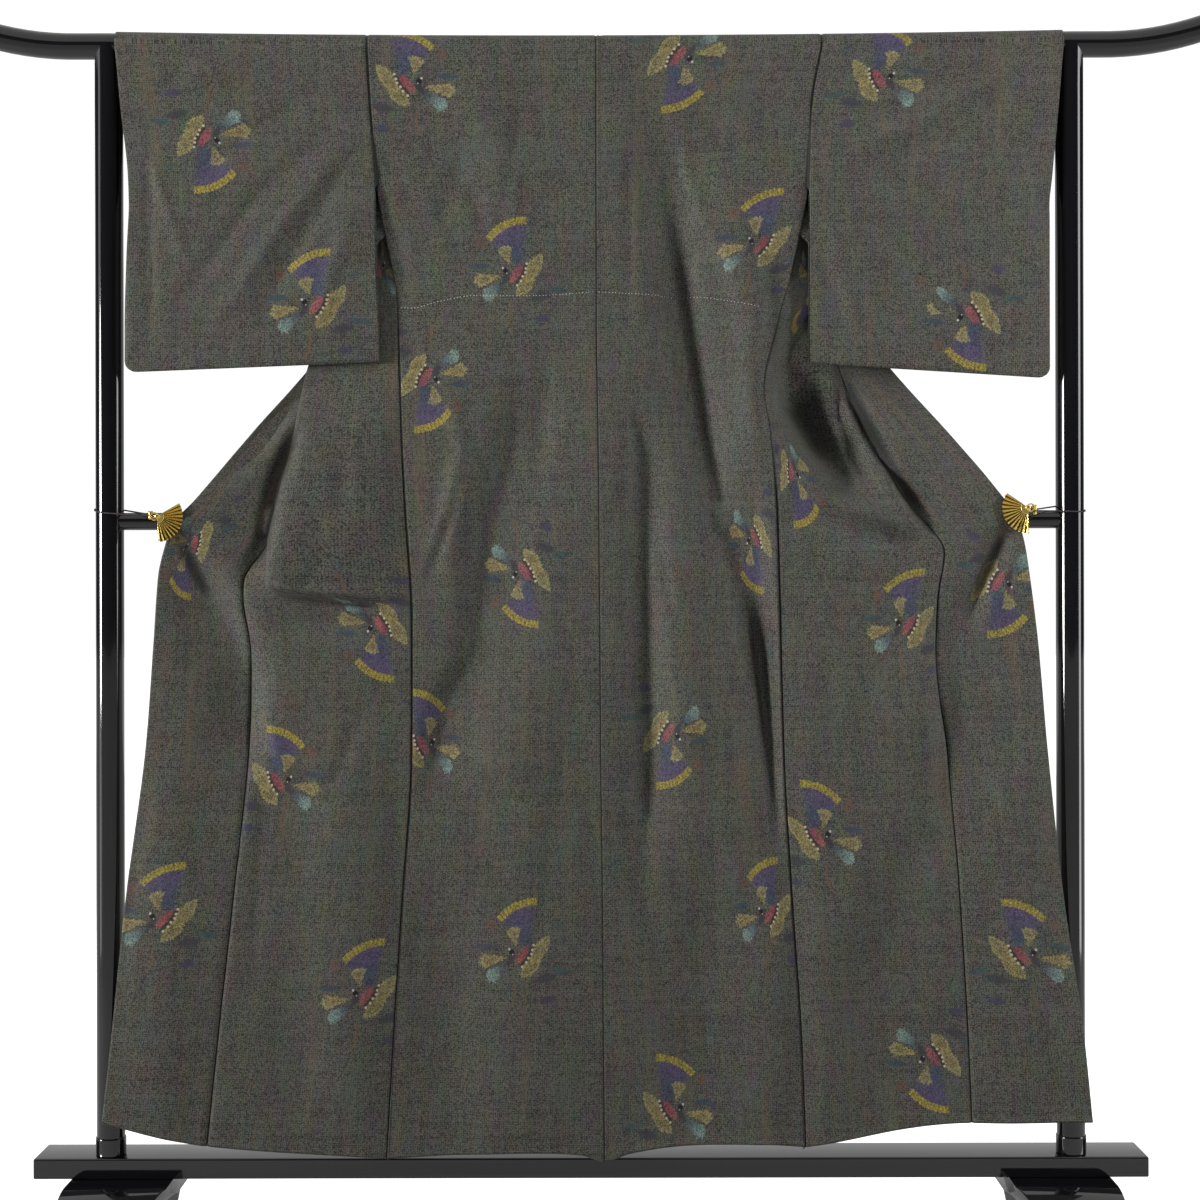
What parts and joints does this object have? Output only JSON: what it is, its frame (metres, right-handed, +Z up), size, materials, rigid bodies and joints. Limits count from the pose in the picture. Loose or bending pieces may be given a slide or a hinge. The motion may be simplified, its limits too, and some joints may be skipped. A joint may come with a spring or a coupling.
{
  "type": "silk kimono on a display stand",
  "caption": "Silk kimono hung by its sleeves on a lacquered rail stand, back to the front, both fronts opened out and held to the posts by folding-fan clips.",
  "frame": {"origin": "centre of the bounding box on the floor, under the top rail's middle", "axes": "+Z up; +X along the rail towards the wearer's right sleeve; -Y towards the garment's back, which is the side on show"},
  "size_m": [1.8738, 0.42, 1.778],
  "materials": {
    "silk": "dark grey-brown slub silk with butterflies",
    "lacquer": "black gloss lacquer",
    "gold": "polished gold colour",
    "elastic": "matte black elastic cord"
  },
  "bodies": {
    "root": {"body_left": "silk", "body_right": "silk", "okumi_left": "silk", "okumi_right": "silk", "sleeve_left": "silk", "sleeve_right": "silk", "collar": "silk", "base_beam": "lacquer", "foot_left": "lacquer", "foot_right": "lacquer", "post_left": "lacquer", "post_right": "lacquer", "top_rail": "lacquer", "mid_rail": "lacquer", "clip_fan_left": "gold", "clip_fan_right": "gold", "clip_back_left": "gold", "clip_back_right": "gold", "clip_cord_left": "elastic", "clip_cord_right": "elastic"}
  },
  "joints": []
}
